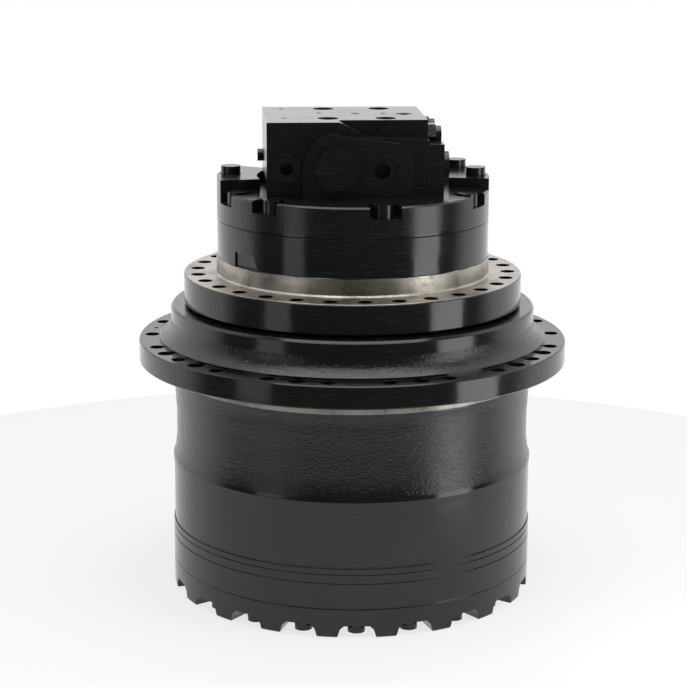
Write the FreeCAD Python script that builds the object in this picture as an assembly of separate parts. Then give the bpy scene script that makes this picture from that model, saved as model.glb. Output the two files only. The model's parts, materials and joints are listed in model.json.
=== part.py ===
import FreeCAD, Part
import math
import os

# Excavator final drive, standing on its hub cover: a hydraulic travel motor and its valve block on
# top of a two-stage planetary gearbox. Millimetres. +Z is the drive's axis, z = 0 is the bottom of
# the hub cover, and -Y is the front of the valve block.

Vector = FreeCAD.Vector

# ---- driving dimensions ---------------------------------------------------------------------------

# heights, stacked from the hub cover up
cover_height = 35.8
ring_flange_height = 51.0
drum_height = 82.2
neck_height = 119.7
sprocket_flange_height = 27.6
hub_rim_height = 42.1
rim_gap = 2.9
frame_flange_height = 36.5
spigot_height = 21.8
case_height = 45.9
valve_plate_height = 37.5
block_height = 89.0

# outside radii
drum_radius = 225.0
hub_drum_radius = 223.6
neck_radius = 219.6
sprocket_pilot_radius = 225.3
sprocket_pilot_height = 16.0
sprocket_flange_radius = 265.0
hub_rim_radius = 225.0
frame_flange_radius = 208.5
spigot_radius = 168.2
case_radius = 167.0
flange_chamfer = 1.5

# bolt circles and holes
hub_screw_inset = 22.5
hub_screw_count = 20
hub_screw_radius = 7.0
hub_head_radius = 10.5
hub_head_height = 14.0
hub_screw_grip = 30.0
sprocket_hole_count = 22
jack_hole_places = (-4, -3, -1, 1, 3, 4)
dowel_place = -6
dowel_radius = 2.75
frame_hole_count = 30
hub_turn = -2.5
case_screw_inset = 16.0
case_screw_radius = 8.0
case_screw_grip = 32.0
case_head_radius = 12.0
case_head_height = 16.0
case_pocket_width = 38.0
case_pocket_depth = 14.5
case_screw_angles = [279, 331, 359, 26, 64, 99, 134, 172, 199, 227]
pad_height = 13.0
pad_recess = 6.0
pad_inner_radius = 118.0
pad_sectors = [(148, 193), (-12, 32)]
screw_clearance = 0.5
head_clearance = 0.8

# hub cover
lobe_height = 15.0
lobe_corner = 5.0
pocket_width = 39.0
pocket_draft = 4.0
cover_recess = 9.0
cover_rim_width = 24.0
oil_plug_radius = 15.0
oil_plug_head = 19.0
oil_plug_socket = 12.0
oil_plug_circle = 115.0
oil_plug_places = [(0, -1), (0.8, 0.6), (-0.8, 0.6)]
thrust_plate_radius = 30.0
thrust_plate_bore = 8.0

# gears
gear_module = 4.75
pressure_angle = math.radians(20)
addendum = 0.9 * gear_module
dedendum = 1.15 * gear_module
tooth_thinning = 0.12
ring_teeth = 72
ring_sleeve_wall = 13.5
sun_1_teeth = 12
planet_1_teeth = 30
sun_2_teeth = 20
planet_2_teeth = 26
planet_1_count = 3
planet_2_count = 4
planet_1_width = 36.0
planet_2_width = 44.0

# bearings, pins and shafts
bearing_outer_radius = 172.0
bearing_section = 32.0
bearing_ring_wall = 9.0
bearing_width = 38.0
bearing_spacing = 74.0
pin_1_radius = 20.0
pin_2_radius = 24.0
needle_1_wall = 6.0
needle_2_wall = 8.0
washer_1_width = 14.0
washer_2_width = 17.0
washer_thickness = 2.0
carrier_radius = 155.0
carrier_1_plate = 9.0
carrier_1_hub_plate = 12.0
carrier_2_plate = 10.0
carrier_2_hub_plate = 28.0
lightening_radius = 14.0
lightening_inset = 32.0
carrier_screw_circle = 82.0
carrier_screw_offset = 22.0
carrier_screw_grip = 26.0
carrier_head_depth = 15.0
carrier_spigot_radius = 60.0
sun_shaft_radius = 20.0
shaft_socket_depth = 31.0
toric_radius = 4.2
seal_ring_depth = 13.0

# motor case and motor
notch_angle = -54.0
notch_width = 44.0
notch_height = 17.0
notch_depth = 3.5
motor_bore_radius = 108.0
brake_bore_radius = 122.0
front_bearing_radius = 46.0
front_bearing_height = 24.0
front_journal_radius = 27.0
rear_bearing_radius = 31.0
rear_bearing_height = 20.0
rear_journal_radius = 17.0
rear_journal_height = 30.0
shaft_seal_radius = 40.0
seal_height = 11.0
drive_shaft_radius = 24.0
piston_count = 9
piston_circle = 58.0
piston_radius = 12.5
piston_rise = 50.0
cylinder_block_radius = 84.0
cylinder_block_height = 118.0
cylinder_port_radius = 6.0
swash_thickness = 24.0
swash_back_height = 4.0
pivot_offset = 62.0
pivot_radius = 10.0
pivot_depth = 8.0
speed_piston_offset = 60.0
speed_piston_radius = 14.0
speed_piston_depth = 29.0
slipper_radius = 16.0
slipper_height = 5.0
slipper_cup = 4.0
retainer_thickness = 3.5
valve_disc_thickness = 8.0
kidney_half_width = 6.0
kidney_bridge = 28.0
brake_disc_count = 4
brake_disc_thickness = 3.0
brake_plate_thickness = 3.0
brake_spring_height = 16.0
brake_spring_thickness = 3.0

# valve block
block_left = -109.0
block_right = 84.0
block_front = -90.0
block_rear = 70.0
block_root = 4.0
shoulder_right = 102.0
shoulder_height = 62.0
boss_depth = 16.0
boss_right = 62.0
setback_depth = 22.0
hump_x = 37.0
spool_x = -27.5
spool_height = 36.5
spool_radius = 14.0
spool_travel = 8.0
spool_spring_length = 14.0
hex_across_flats = 49.0
hex_head_height = 10.0
hex_plug_depth = 20.0
main_port_height = 37.0
main_port_spacing = 95.0
main_port_radius = 12.5
main_port_depth = 40.0
flange_bolt_short = 23.8
flange_bolt_long = 50.8
flange_bolt_radius = 4.25
flange_bolt_depth = 22.0
drain_port_x = 27.0
drain_port_height = 33.0
drain_port_radius = 9.5
drain_port_depth = 22.0
drain_spot_radius = 18.5
drain_spot_depth = 1.5
pilot_port_x = -86.0
pilot_port_height = 35.0
pilot_port_radius = 7.6
pilot_port_depth = 26.0
pilot_boss_radius = 17.5
pilot_boss_depth = 7.0
relief_places = [-36.0, 34.0]
relief_drop = 22.0
relief_body_radius = 10.0
relief_body_depth = 38.0
relief_pocket_radius = 17.0
relief_across_flats = 27.0
relief_head_height = 12.0
relief_nut_radius = 11.0
relief_nut_height = 7.0
speed_y = -50.0
speed_height = 32.0
speed_cap_radius = 17.0
speed_cap_height = 9.0
speed_cap_body = 12.0
speed_cap_depth = 12.0
speed_spool_radius = 9.0
speed_spool_length = 50.0
speed_spool_travel = 6.0
speed_land_width = 15.0
speed_bore_depth = 94.0
side_cap_radius = 7.5
side_cap_height = 7.0
side_cap_y = 42.0
side_cap_height_up = 33.0
plug_radius = 12.5
plug_depth = 12.0
plug_sink = 1.5
plug_socket = 14.0
plug_places = [(-34, 48), (-34, -50), (35, 48), (35, -50)]
cavity_plug_radius = 10.0
cavity_plug_depth = 10.0
cavity_plug_sink = 0.5
cavity_plug_socket = 10.0
cavity_plug_place = (61, -9)
small_hole_radius = 3.4
small_hole_depth = 14.0
small_hole_places = [(-86, 46), (-86, -45), (-42, 4), (0, 0), (4, -6), (36, -3)]

# clearances
running_gap = 0.05
seat_gap = 0.03
side_gap = 0.5
free_gap = 2.5

# ---- derived places -------------------------------------------------------------------------------

ring_bottom = cover_height
hub_bottom = ring_bottom + ring_flange_height
drum_top = hub_bottom + drum_height
sprocket_bottom = drum_top + neck_height
sprocket_top = sprocket_bottom + sprocket_flange_height
hub_top = sprocket_top + hub_rim_height
frame_bottom = hub_top + rim_gap
frame_top = frame_bottom + frame_flange_height
case_top = frame_top + spigot_height + case_height
plate_top = case_top + valve_plate_height
block_top = plate_top + block_height

hub_screw_circle = drum_radius - hub_screw_inset
case_screw_circle = case_radius - case_screw_inset
sprocket_reach = sprocket_flange_radius - hub_rim_radius
sprocket_hole_circle = sprocket_flange_radius - 0.4 * sprocket_reach
sprocket_hole_radius = 0.21875 * sprocket_reach
jack_hole_radius = sprocket_hole_radius + 1.0
hub_foot_radius = hub_rim_radius + 0.35 * sprocket_reach

ring_pitch_radius = gear_module * ring_teeth / 2
ring_tip_radius = ring_pitch_radius - addendum
ring_root_radius = ring_pitch_radius + dedendum
ring_sleeve_radius = ring_root_radius + ring_sleeve_wall
centre_1 = gear_module * (sun_1_teeth + planet_1_teeth) / 2
centre_2 = gear_module * (sun_2_teeth + planet_2_teeth) / 2
planet_1_tip = gear_module * planet_1_teeth / 2 + addendum
planet_2_tip = gear_module * planet_2_teeth / 2 + addendum
sun_1_tip = gear_module * sun_1_teeth / 2 + addendum
sun_2_tip = gear_module * sun_2_teeth / 2 + addendum
sun_2_root = gear_module * sun_2_teeth / 2 - dedendum
sun_2_spline_radius = sun_2_root - 2.0
needle_1_radius = pin_1_radius + running_gap + needle_1_wall
needle_2_radius = pin_2_radius + running_gap + needle_2_wall

end_wall_top = cover_height - 7.8
carrier_1_bottom = end_wall_top + 10.0
planet_1_bottom = carrier_1_bottom + carrier_1_plate + washer_thickness
planet_1_top = planet_1_bottom + planet_1_width
carrier_1_hub = planet_1_top + washer_thickness
carrier_1_top = carrier_1_hub + carrier_1_hub_plate
carrier_2_bottom = carrier_1_top + free_gap
planet_2_bottom = carrier_2_bottom + carrier_2_plate + washer_thickness
planet_2_top = planet_2_bottom + planet_2_width
carrier_2_hub = planet_2_top + washer_thickness
carrier_2_top = carrier_2_hub + carrier_2_hub_plate
sleeve_top = planet_2_top + 8.0

lower_bearing = carrier_2_top + 9.0
upper_bearing = lower_bearing + bearing_spacing
spindle_shoulder = upper_bearing + bearing_width
bearing_inner_radius = bearing_outer_radius - bearing_section
race_inner_radius = bearing_inner_radius + bearing_ring_wall
race_outer_radius = bearing_outer_radius - bearing_ring_wall
clamp_rim_radius = bearing_inner_radius - 12.0
seal_bore_radius = bearing_outer_radius + 1.0
toric_circle = seal_bore_radius - toric_radius - 0.3
seal_stem_radius = toric_circle - toric_radius - 0.3
seal_inner_radius = race_inner_radius + 7.0
seal_face = frame_bottom - 34.0
spindle_neck_radius = seal_bore_radius + 10.5
rim_bore_radius = spindle_neck_radius + 3.0
frame_reach = frame_flange_radius - spindle_neck_radius
frame_hole_circle = frame_flange_radius - 0.66 * frame_reach
frame_hole_radius = 0.35 * frame_reach

motor_floor = carrier_2_top + 38.0
drive_shaft_bottom = carrier_2_top + 5.0
sun_shaft_top = drive_shaft_bottom + shaft_socket_depth
swash_bottom = motor_floor + 13.0
swash_face = swash_bottom + swash_thickness
swash_radius = piston_circle + slipper_radius + 6.0
pivot_top = swash_bottom - swash_back_height
port_face = case_top - 9.5
rear_bearing_bottom = port_face + 5.0
block_end = port_face - valve_disc_thickness
cylinder_block_bottom = block_end - cylinder_block_height
piston_top = cylinder_block_bottom + piston_rise
slipper_cup_radius = 0.8 * piston_radius
slipper_ball = swash_face + slipper_height + slipper_cup
brake_floor = case_top - 65.5
brake_plate_inner = cylinder_block_radius + 6.0
brake_disc_outer = brake_bore_radius - 8.0
brake_pitch = brake_disc_thickness + brake_plate_thickness
brake_piston_bottom = brake_floor + brake_pitch * brake_disc_count + brake_plate_thickness
brake_piston_top = case_top - brake_spring_height

block_low = plate_top - block_root
shoulder_top = plate_top + shoulder_height
boss_front = block_front - boss_depth
setback_front = block_front + setback_depth
spool_z = plate_top + spool_height
spool_front = boss_front + hex_plug_depth + spool_travel + 1.0
spool_rear = block_rear - hex_plug_depth - spool_travel - 1.0
plug_body_radius = spool_radius + 4.0
main_port_z = plate_top + main_port_height
pilot_port_z = plate_top + pilot_port_height
drain_port_z = plate_top + drain_port_height
relief_z = block_top - relief_drop
speed_z = plate_top + speed_height
speed_spool_right = shoulder_right - speed_cap_depth - 0.2
speed_spool_left = speed_spool_right - speed_spool_length
side_cap_z = plate_top + side_cap_height_up


# ---- helpers --------------------------------------------------------------------------------------

def save(name, shape):
    shape.exportStep(os.path.join("parts", name + ".step"))
    print(name, len(shape.Solids), "solids, valid", shape.isValid())


def cylinder(radius, bottom, top, x=0.0, y=0.0):
    return Part.makeCylinder(radius, top - bottom, Vector(x, y, bottom))


def tube(outer, inner, bottom, top, x=0.0, y=0.0):
    return cylinder(outer, bottom, top, x, y).cut(cylinder(inner, bottom - 1, top + 1, x, y))


def rod(radius, start, end):
    """A round bar between two points."""
    along = end.sub(start)
    return Part.makeCylinder(radius, along.Length, start, along)


def box(x0, x1, y0, y1, z0, z1):
    return Part.makeBox(x1 - x0, y1 - y0, z1 - z0, Vector(x0, y0, z0))


def turned(outline):
    """A solid turned about the drive's axis from (radius, height) points."""
    points = [Vector(radius, 0, height) for radius, height in outline]
    face = Part.Face(Part.makePolygon(points + points[:1]))
    return face.revolve(Vector(0, 0, 0), Vector(0, 0, 1), 360)


def spun(shape, degrees):
    copy = shape.copy()
    copy.rotate(Vector(0, 0, 0), Vector(0, 0, 1), degrees)
    return copy


def around(shape, count, start=0.0):
    """Copies of a shape at even angles about the drive's axis."""
    return [spun(shape, start + 360.0 * index / count) for index in range(count)]


def group(shapes):
    return Part.makeCompound(shapes)


def drilled(shape, tools):
    return shape.cut(group(tools))


def polar(radius, degrees, height=0.0):
    angle = math.radians(degrees)
    return Vector(radius * math.cos(angle), radius * math.sin(angle), height)


def hexagon(across_flats, start, end):
    """A hexagonal bar between two points, with two corners level."""
    along = end.sub(start)
    upright = abs(along.z) > along.Length / 2
    side = Vector(1, 0, 0) if upright else Vector(0, 0, 1).cross(along).normalize()
    up = along.cross(side).normalize()
    corner = across_flats / math.sqrt(3)
    turns = [math.radians(60 * index) for index in range(6)]
    points = [start + side * (corner * math.cos(t)) + up * (corner * math.sin(t)) for t in turns]
    return Part.Face(Part.makePolygon(points + points[:1])).extrude(along)


# ---- gear teeth -----------------------------------------------------------------------------------

def involute(angle):
    return math.tan(angle) - angle


def half_tooth(teeth, radius, thinning):
    """Half the angle that an involute tooth spans at a radius."""
    pitch = gear_module * teeth / 2
    base = pitch * math.cos(pressure_angle)
    roll = math.acos(base / radius) if radius > base else 0.0
    return math.pi / (2 * teeth) - thinning / pitch + involute(pressure_angle) - involute(roll)


def tooth_outline(teeth, radii, thinning, start):
    """Closed outline of a gear, each flank given by points at the radii."""
    flank = [(radius, half_tooth(teeth, radius, thinning)) for radius in radii]
    points = []
    for index in range(teeth):
        middle = start + 2 * math.pi * index / teeth
        points += [polar(radius, math.degrees(middle - half)) for radius, half in flank]
        points += [polar(radius, math.degrees(middle + half)) for radius, half in reversed(flank)]
    return Part.makePolygon(points + points[:1])


def spur_gear(teeth, bottom, top, start=0.0):
    pitch = gear_module * teeth / 2
    root = pitch - dedendum
    tip = pitch + addendum
    foot = max(root, pitch * math.cos(pressure_angle))
    radii = [foot, (foot + tip) / 2, tip]
    if root < foot:
        radii.insert(0, root)
    blank = Part.Face(tooth_outline(teeth, radii, tooth_thinning, start))
    blank.translate(Vector(0, 0, bottom))
    return blank.extrude(Vector(0, 0, top - bottom))


def ring_tooth_space(bottom, top):
    """The hollow of the ring gear: its spaces are teeth widened by the thinning."""
    half_pitch = math.pi / ring_teeth
    outline = tooth_outline(ring_teeth, [ring_tip_radius, ring_root_radius], -tooth_thinning, half_pitch)
    face = Part.Face(outline)
    face.translate(Vector(0, 0, bottom))
    return face.extrude(Vector(0, 0, top - bottom))


def planet_phase(angle, sun_teeth, planet_teeth):
    """Turn of a planet at an angle so that it meshes with a sun whose tooth points along +X."""
    return angle + math.pi + (sun_teeth * angle - math.pi) / planet_teeth


# ---- hub: cover, ring gear, housing -----------------------------------------------------------------

def hub_cover():
    """Round cover whose bottom rim is cut into lobes by a pocket for each screw head."""
    rim_inner = hub_screw_circle - cover_rim_width
    inner_bore = carrier_radius + 5.0
    dish = 2 * thrust_plate_radius
    cover = turned([
        (0, cover_recess + 4), (dish, cover_recess + 4), (dish + 6, cover_recess),
        (rim_inner - 8, cover_recess), (rim_inner, 0), (drum_radius - flange_chamfer, 0),
        (drum_radius, flange_chamfer), (drum_radius, cover_height), (inner_bore, cover_height),
        (inner_bore, end_wall_top), (0, end_wall_top)])
    lower = pocket_width / 2 + pocket_draft
    upper = pocket_width / 2
    bend = lobe_height - lobe_corner
    inner = hub_screw_circle - hub_head_radius - 4.0
    outline = [
        Vector(inner, -lower, -1), Vector(inner, lower, -1), Vector(inner, upper + 0.5, bend),
        Vector(inner, upper - lobe_corner, lobe_height), Vector(inner, lobe_corner - upper, lobe_height),
        Vector(inner, -upper - 0.5, bend)]
    face = Part.Face(Part.makePolygon(outline + outline[:1]))
    pocket = face.extrude(Vector(drum_radius - inner + 5, 0, 0))
    hole = cylinder(hub_screw_radius + screw_clearance, lobe_height - 1, cover_height + 1, hub_screw_circle)
    line = groove(drum_radius, cover_height, 2.4, 0.8)
    start = 270 + hub_turn
    cuts = around(pocket, hub_screw_count, start) + around(hole, hub_screw_count, start) + [line]
    for x, y in oil_plug_places:
        cuts.append(cylinder(oil_plug_radius + seat_gap, 0, end_wall_top + 1,
                             oil_plug_circle * x, oil_plug_circle * y))
    return drilled(cover, cuts)


def oil_plugs():
    """Drain, level and filling plugs with hexagon sockets."""
    plugs = []
    for x, y in oil_plug_places:
        centre = Vector(oil_plug_circle * x, oil_plug_circle * y, cover_recess - 4)
        plug = cylinder(oil_plug_radius, centre.z, end_wall_top, centre.x, centre.y)
        plug = plug.fuse(cylinder(oil_plug_head, centre.z, cover_recess, centre.x, centre.y))
        socket = hexagon(oil_plug_socket, centre + Vector(0, 0, -1), centre + Vector(0, 0, 9))
        plugs.append(plug.cut(socket))
    return group(plugs)


def thrust_plate():
    return tube(thrust_plate_radius, thrust_plate_bore, end_wall_top, carrier_1_bottom - side_gap)


def hub_screws():
    head = cylinder(hub_head_radius, lobe_height - hub_head_height, lobe_height, hub_screw_circle)
    shank = cylinder(hub_screw_radius, lobe_height, hub_bottom + hub_screw_grip, hub_screw_circle)
    screw = head.fuse(shank)
    return group(around(screw, hub_screw_count, 270 + hub_turn))


def groove(radius, height, width, depth):
    """A ring tool that cuts a groove round a drum of the given radius."""
    return turned([
        (radius - depth, height - width / 2), (radius + 1, height - width / 2),
        (radius + 1, height + width / 2), (radius - depth, height + width / 2)])


def ring_gear():
    """Flanged ring gear: its sleeve reaches up inside the housing and carries both stages' teeth."""
    inside = ring_tip_radius - 20.0
    blank = turned([
        (inside, ring_bottom), (drum_radius, ring_bottom), (drum_radius, hub_bottom),
        (ring_sleeve_radius, hub_bottom), (ring_sleeve_radius, sleeve_top), (inside, sleeve_top)])
    hole = cylinder(hub_screw_radius + screw_clearance, ring_bottom - 1, hub_bottom + 1, hub_screw_circle)
    cuts = around(hole, hub_screw_count, 270 + hub_turn)
    cuts.append(groove(drum_radius, hub_bottom - 19.8, 1.2, 1.2))
    cuts.append(groove(drum_radius, hub_bottom - 8.8, 1.2, 1.2))
    cuts.append(groove(drum_radius, hub_bottom - 0.9, 1.8, 1.6))
    return drilled(blank, cuts).cut(ring_tooth_space(ring_bottom - 1, sleeve_top + 1))


def hub_housing():
    """Rotating drum with the sprocket flange, the rim round the floating seal and two bearing seats."""
    seat_shoulder = bearing_outer_radius - 6.0
    relief = bearing_outer_radius + 6.0
    pilot_bottom = sprocket_bottom - sprocket_pilot_height
    foot_top = sprocket_top + 12.0
    outline = [
        (hub_drum_radius, hub_bottom), (hub_drum_radius, drum_top - 14), (hub_drum_radius + 1, drum_top - 4),
        (hub_drum_radius + 0.6, drum_top), (neck_radius + 2.8, drum_top + 2.5),
        (neck_radius + 1.6, drum_top + 0.09 * neck_height), (neck_radius, drum_top + 0.21 * neck_height),
        (neck_radius, drum_top + 0.47 * neck_height), (neck_radius + 1.2, drum_top + 0.6 * neck_height),
        (neck_radius + 2.6, pilot_bottom - 6),
        (sprocket_pilot_radius, pilot_bottom), (sprocket_pilot_radius, sprocket_bottom),
        (sprocket_flange_radius - flange_chamfer, sprocket_bottom),
        (sprocket_flange_radius, sprocket_bottom + flange_chamfer),
        (sprocket_flange_radius, sprocket_top - flange_chamfer),
        (sprocket_flange_radius - flange_chamfer, sprocket_top),
        (hub_foot_radius + 1, sprocket_top), (hub_foot_radius + 1, sprocket_top + 3),
        (hub_foot_radius - 3, sprocket_top + 6), (hub_foot_radius - 8, foot_top - 2),
        (hub_foot_radius - 12.5, foot_top + 4), (hub_rim_radius, foot_top + 10),
        (hub_rim_radius, hub_top - 3), (hub_rim_radius - 3, hub_top),
        (rim_bore_radius, hub_top), (rim_bore_radius, seal_face - 4), (seal_bore_radius + 2, seal_face - 4),
        (seal_bore_radius, seal_face - 6), (seal_bore_radius, spindle_shoulder + 3),
        (bearing_outer_radius, spindle_shoulder + 3), (bearing_outer_radius, upper_bearing),
        (seat_shoulder, upper_bearing),
        (seat_shoulder, lower_bearing + bearing_width), (bearing_outer_radius, lower_bearing + bearing_width),
        (bearing_outer_radius, lower_bearing - 2), (relief, lower_bearing - 8), (relief, sleeve_top + 1),
        (ring_sleeve_radius + seat_gap, sleeve_top + 1), (ring_sleeve_radius + seat_gap, hub_bottom)]
    housing = turned(outline)
    tapped = cylinder(hub_screw_radius + seat_gap, hub_bottom - 1, hub_bottom + hub_screw_grip + 4,
                      hub_screw_circle)
    cuts = around(tapped, hub_screw_count, 270 + hub_turn)
    through = cylinder(sprocket_hole_radius, sprocket_bottom - 1, sprocket_top + 1, sprocket_hole_circle)
    half_step = 180.0 / sprocket_hole_count
    cuts += around(through, sprocket_hole_count, 270 + hub_turn + half_step)
    jack = cylinder(jack_hole_radius, sprocket_bottom - 1, sprocket_top + 1, sprocket_hole_circle)
    step = 360.0 / sprocket_hole_count
    cuts += [spun(jack, 270 + hub_turn + step * place) for place in jack_hole_places]
    dowel = cylinder(dowel_radius, sprocket_top - 12, sprocket_top + 1, sprocket_hole_circle)
    cuts.append(spun(dowel, 270 + hub_turn + step * dowel_place))
    return drilled(housing, cuts)


# ---- bearings and floating seal ---------------------------------------------------------------------

def bearing_rings(outer, inner):
    """One ring of each of the two main bearings."""
    return group([tube(outer, inner, bottom, bottom + bearing_width)
                  for bottom in (lower_bearing, upper_bearing)])


def main_bearing_rollers():
    """One ring stands for the rollers and cage of each main bearing."""
    outer = race_outer_radius - running_gap
    inner = race_inner_radius + running_gap
    return group([tube(outer, inner, bottom + 5, bottom + bearing_width - 5)
                  for bottom in (lower_bearing, upper_bearing)])


def seal_ring(upper):
    """Floating seal ring: a flat lapped face, and a cone that the toric ring presses on."""
    sign = 1 if upper else -1
    face = seal_face + sign * running_gap
    back = face + sign * seal_ring_depth
    return turned([
        (seal_inner_radius, face), (seal_bore_radius - 2, face), (seal_bore_radius - 2, face + sign * 3),
        (seal_stem_radius, face + sign * 5), (seal_stem_radius, back), (seal_inner_radius, back)])


def toric_ring(upper):
    """Rubber ring between a seal ring's cone and its housing."""
    sign = 1 if upper else -1
    centre = Vector(toric_circle, 0, seal_face + sign * (seal_ring_depth - 2.5))
    circle = Part.Face(Part.Wire(Part.makeCircle(toric_radius, centre, Vector(0, 1, 0))))
    return circle.revolve(Vector(0, 0, 0), Vector(0, 0, 1), 360)


# ---- first stage --------------------------------------------------------------------------------------

def planet_gear(teeth, bottom, top, bore, centre, angle, sun_teeth):
    gear = spur_gear(teeth, bottom, top, planet_phase(angle, sun_teeth, teeth))
    gear = gear.cut(cylinder(bore, bottom - 1, top + 1))
    gear.translate(Vector(centre * math.cos(angle), centre * math.sin(angle), 0))
    return gear


def planet_pocket(tip, centre, bottom, top, bore, count):
    """What the planets and the sun clear out of a carrier."""
    around_planets = around(cylinder(tip + free_gap, bottom, top, centre), count)
    return group(around_planets + [cylinder(bore, bottom, top)])


def carrier_1():
    """Cast carrier: two plates, webs between the planets, and a splined bore for the second sun."""
    body = cylinder(carrier_radius, carrier_1_bottom, carrier_1_top)
    body = body.cut(planet_pocket(planet_1_tip, centre_1, planet_1_bottom - washer_thickness,
                                  planet_1_top + washer_thickness, sun_1_tip + free_gap, planet_1_count))
    pin_hole = cylinder(pin_1_radius + seat_gap, carrier_1_bottom - 1, carrier_1_top + 1, centre_1)
    cuts = around(pin_hole, planet_1_count)
    cuts.append(cylinder(sun_1_tip + free_gap, carrier_1_bottom - 1, carrier_1_hub))
    cuts.append(cylinder(sun_2_spline_radius + seat_gap, carrier_1_hub - 1, carrier_1_top + 1))
    lightening = cylinder(lightening_radius, carrier_1_bottom - 1, carrier_1_top + 1,
                          carrier_radius - lightening_inset)
    cuts += around(lightening, planet_1_count, 60)
    return drilled(body, cuts)


def pins(radius, bottom, top, centre, count):
    return group(around(cylinder(radius, bottom, top, centre), count))


def needles(pin_radius, needle_radius, bottom, top, centre, count):
    """A sleeve at each pin stands for its needle rollers."""
    sleeve = tube(needle_radius, pin_radius + running_gap, bottom + 1, top - 1, centre)
    return group(around(sleeve, count))


def washers(pin_radius, width, bottom, top, centre, count):
    """Thrust washers against the carrier's plates, one below and one above each planet."""
    play = side_gap / 2
    bore = pin_radius + seat_gap
    outer = pin_radius + width
    lower = tube(outer, bore, bottom - washer_thickness, bottom - play, centre)
    upper = tube(outer, bore, top + play, top + washer_thickness, centre)
    return group(around(lower, count) + around(upper, count))


def sun_2():
    """Second sun: a hollow gear whose lower end is splined into the first carrier."""
    teeth = spur_gear(sun_2_teeth, planet_2_bottom, planet_2_top)
    spline = cylinder(sun_2_spline_radius, carrier_1_hub, planet_2_bottom)
    bore = cylinder(sun_shaft_radius + free_gap, carrier_1_hub - 1, planet_2_top + 1)
    return teeth.fuse(spline).cut(bore)


def sun_shaft():
    """First sun cut on the end of a long shaft that reaches up to the motor shaft."""
    shaft = cylinder(sun_shaft_radius, carrier_1_bottom, sun_shaft_top)
    return shaft.fuse(spur_gear(sun_1_teeth, planet_1_bottom, planet_1_top))


# ---- second stage -------------------------------------------------------------------------------------

def carrier_screw_places():
    """A screw on each side of every second-stage planet."""
    step = 360.0 / planet_2_count
    places = []
    for index in range(planet_2_count):
        for side in (-1, 1):
            places.append(polar(carrier_screw_circle, step * index + side * carrier_screw_offset))
    return places


def carrier_2():
    """Fixed carrier: its hub plate is screwed to the spindle and clamps the lower bearing."""
    body = cylinder(carrier_radius, carrier_2_bottom, carrier_2_top)
    rim = tube(race_inner_radius, clamp_rim_radius, carrier_2_top, lower_bearing)
    body = body.fuse(rim)
    body = body.cut(planet_pocket(planet_2_tip, centre_2, planet_2_bottom - washer_thickness,
                                  planet_2_top + washer_thickness, sun_2_tip + free_gap, planet_2_count))
    pin_hole = cylinder(pin_2_radius + seat_gap, carrier_2_bottom - 1, carrier_2_top + 1, centre_2)
    cuts = around(pin_hole, planet_2_count)
    cuts.append(cylinder(sun_2_tip + free_gap, carrier_2_bottom - 1, carrier_2_hub))
    cuts.append(cylinder(carrier_spigot_radius + seat_gap, carrier_2_hub - 1, carrier_2_top + 1))
    seat = carrier_2_hub + carrier_head_depth
    for place in carrier_screw_places():
        cuts.append(cylinder(hub_screw_radius + screw_clearance, seat - 1, carrier_2_top + 1,
                             place.x, place.y))
        cuts.append(cylinder(hub_head_radius + head_clearance, carrier_2_hub - 1, seat, place.x, place.y))
    return drilled(body, cuts)


def carrier_2_screws():
    screws = []
    seat = carrier_2_hub + carrier_head_depth
    for place in carrier_screw_places():
        head = cylinder(hub_head_radius, seat - hub_head_height, seat, place.x, place.y)
        shank = cylinder(hub_screw_radius, seat, carrier_2_top + carrier_screw_grip, place.x, place.y)
        screws.append(head.fuse(shank))
    return group(screws)


# ---- spindle and motor case ---------------------------------------------------------------------------

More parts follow.
